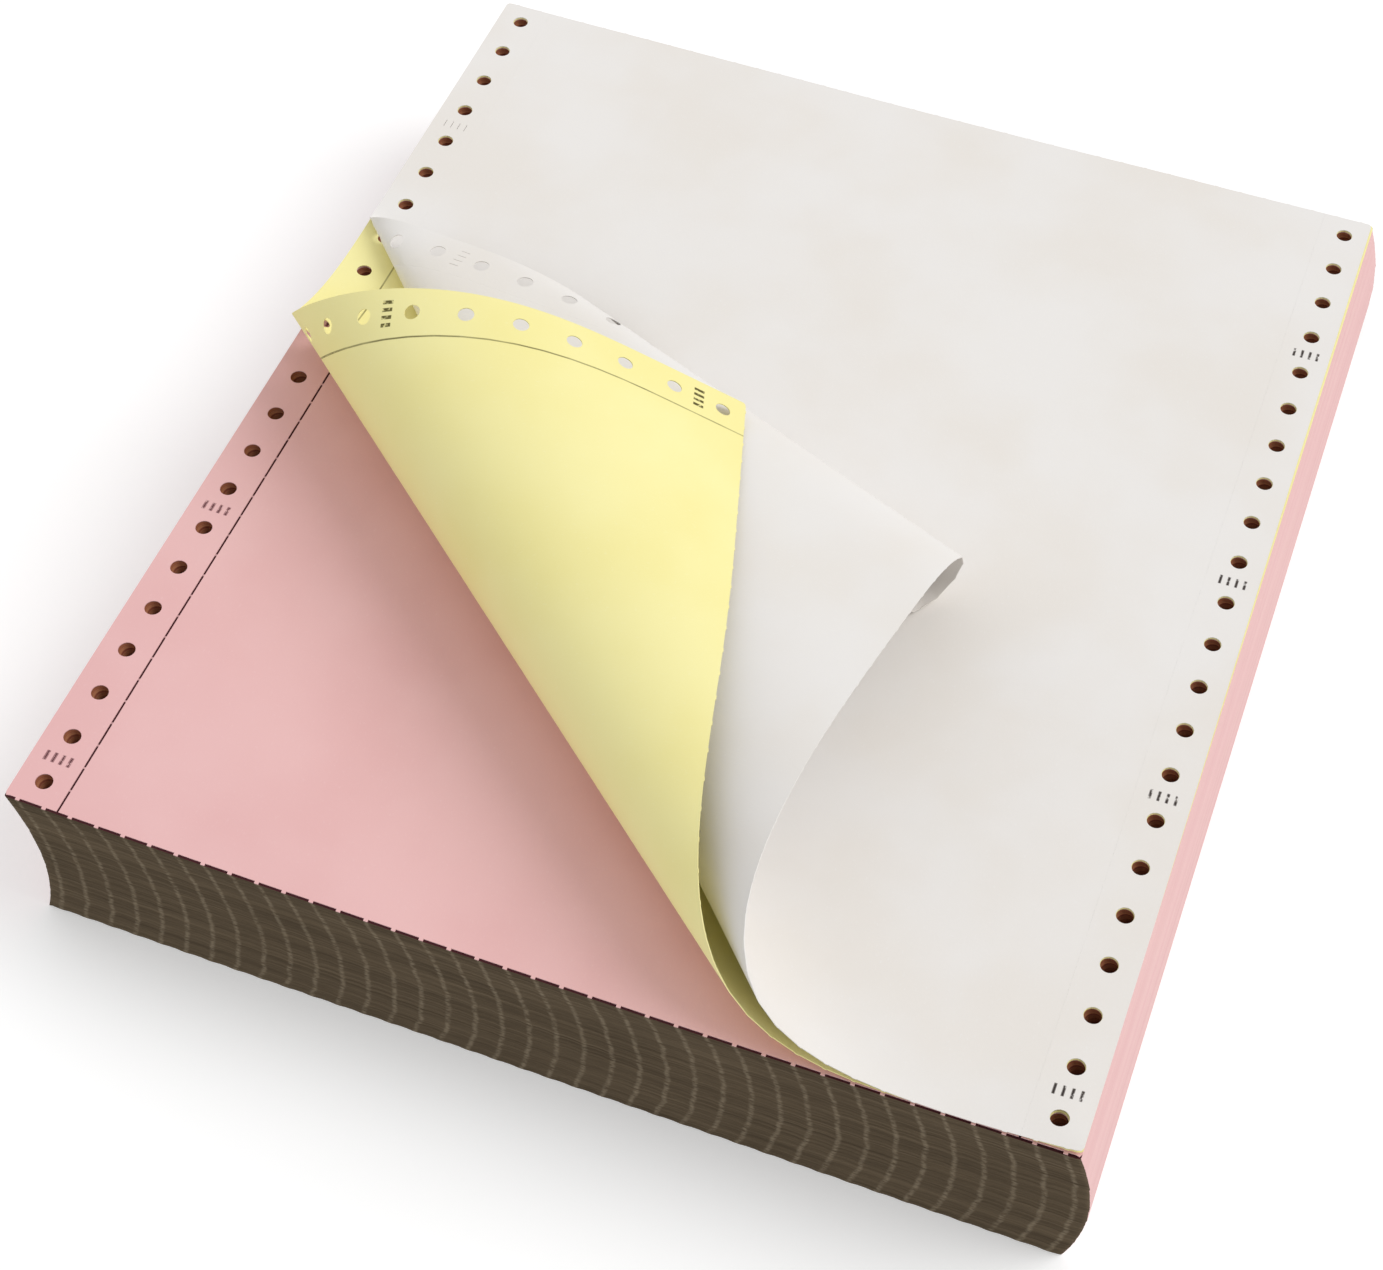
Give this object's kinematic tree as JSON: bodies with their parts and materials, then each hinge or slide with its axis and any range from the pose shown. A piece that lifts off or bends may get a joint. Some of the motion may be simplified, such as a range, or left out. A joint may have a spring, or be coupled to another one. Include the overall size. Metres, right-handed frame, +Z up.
{
  "type": "fanfold continuous form paper",
  "caption": "Pack of fanfold continuous form paper in coloured plies, with tractor feed holes along both margins; the top white and yellow plies are peeled back and curl over.",
  "frame": {"origin": "centre of the pack's underside where the unshifted form lies, on the surface that it stands on", "axes": "+X to the right margin, +Y from the free front edge of the top form to its back fold, +Z up"},
  "size_m": [0.246, 0.2794, 0.0901],
  "materials": {
    "pack_paper": "matt stacked paper edges, brown with age and shade, pink along the margins",
    "pink_paper": "matt pink paper",
    "yellow_paper": "matt pale yellow paper",
    "white_paper": "matt white paper"
  },
  "bodies": {
    "root": {"folded_pack": "pack_paper", "pink_ply": "pink_paper", "yellow_ply": "yellow_paper", "white_ply": "white_paper"}
  },
  "joints": []
}
